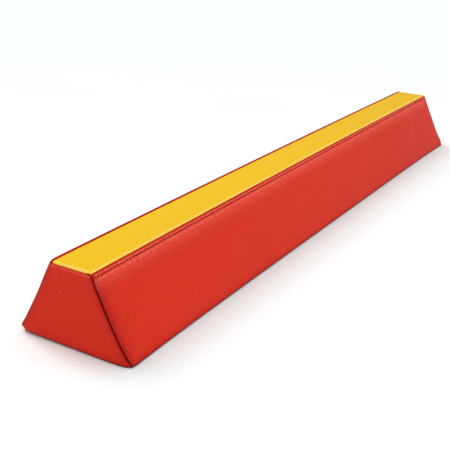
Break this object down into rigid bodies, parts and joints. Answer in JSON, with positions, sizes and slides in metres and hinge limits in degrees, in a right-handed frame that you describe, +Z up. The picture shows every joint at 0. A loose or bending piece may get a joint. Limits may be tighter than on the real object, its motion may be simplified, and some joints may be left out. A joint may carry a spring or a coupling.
{
  "type": "soft gymnastics balance beam",
  "caption": "Low foam balance beam of trapezoidal section in a sewn two-colour vinyl cover, with a flat walking strip on top, sloping sides and a zipped non-slip base.",
  "frame": {"origin": "middle of the base, on the floor", "axes": "+X along the beam towards its right end, where the zip closes; +Y across it towards the rear side; +Z up through the walking strip"},
  "size_m": [2, 0.285, 0.18],
  "materials": {
    "yellow_vinyl": "satin",
    "red_vinyl": "satin",
    "base_vinyl": "matte",
    "topstitch_thread": "matte",
    "seam_thread": "matte",
    "core_foam": "matte",
    "deck_foam": "matte",
    "zip_tape": "matte",
    "zip_coil": "satin",
    "zip_metal": "satin"
  },
  "bodies": {
    "beam": {"foam_core": "core_foam", "foam_deck": "deck_foam", "front_base_panel": "base_vinyl", "front_base_seam_thread": "seam_thread", "front_side_panel": "red_vinyl", "front_top_seam_thread": "seam_thread", "front_topstitch_thread": "topstitch_thread", "front_zip_coil": "zip_coil", "front_zip_stitching": "seam_thread", "front_zip_tape": "zip_tape", "front_zip_top_stop": "zip_metal", "left_end_panel": "red_vinyl", "left_end_seam_thread": "seam_thread", "rear_base_panel": "base_vinyl", "rear_base_seam_thread": "seam_thread", "rear_side_panel": "red_vinyl", "rear_top_seam_thread": "seam_thread", "rear_topstitch_thread": "topstitch_thread", "rear_zip_coil": "zip_coil", "rear_zip_stitching": "seam_thread", "rear_zip_tape": "zip_tape", "rear_zip_top_stop": "zip_metal", "right_end_panel": "red_vinyl", "right_end_seam_thread": "seam_thread", "top_panel": "yellow_vinyl", "zip_bottom_stop": "zip_metal"},
    "zip_slider": {"zip_slider": "zip_metal"},
    "zip_pull": {"zip_pull": "zip_metal"}
  },
  "joints": [
    {"name": "zip_slide", "type": "slide", "parent": "beam", "child": "zip_slider", "axis": [1, 0, 0], "range_m": [-1.852, 0], "deforming": ["front_zip_coil", "rear_zip_coil"]},
    {"name": "zip_pull_hinge", "type": "hinge", "parent": "zip_slider", "child": "zip_pull", "pos_m": [0.928, 0, 0.0035], "axis": [0, -1, 0], "range_deg": [0, 180]}
  ]
}
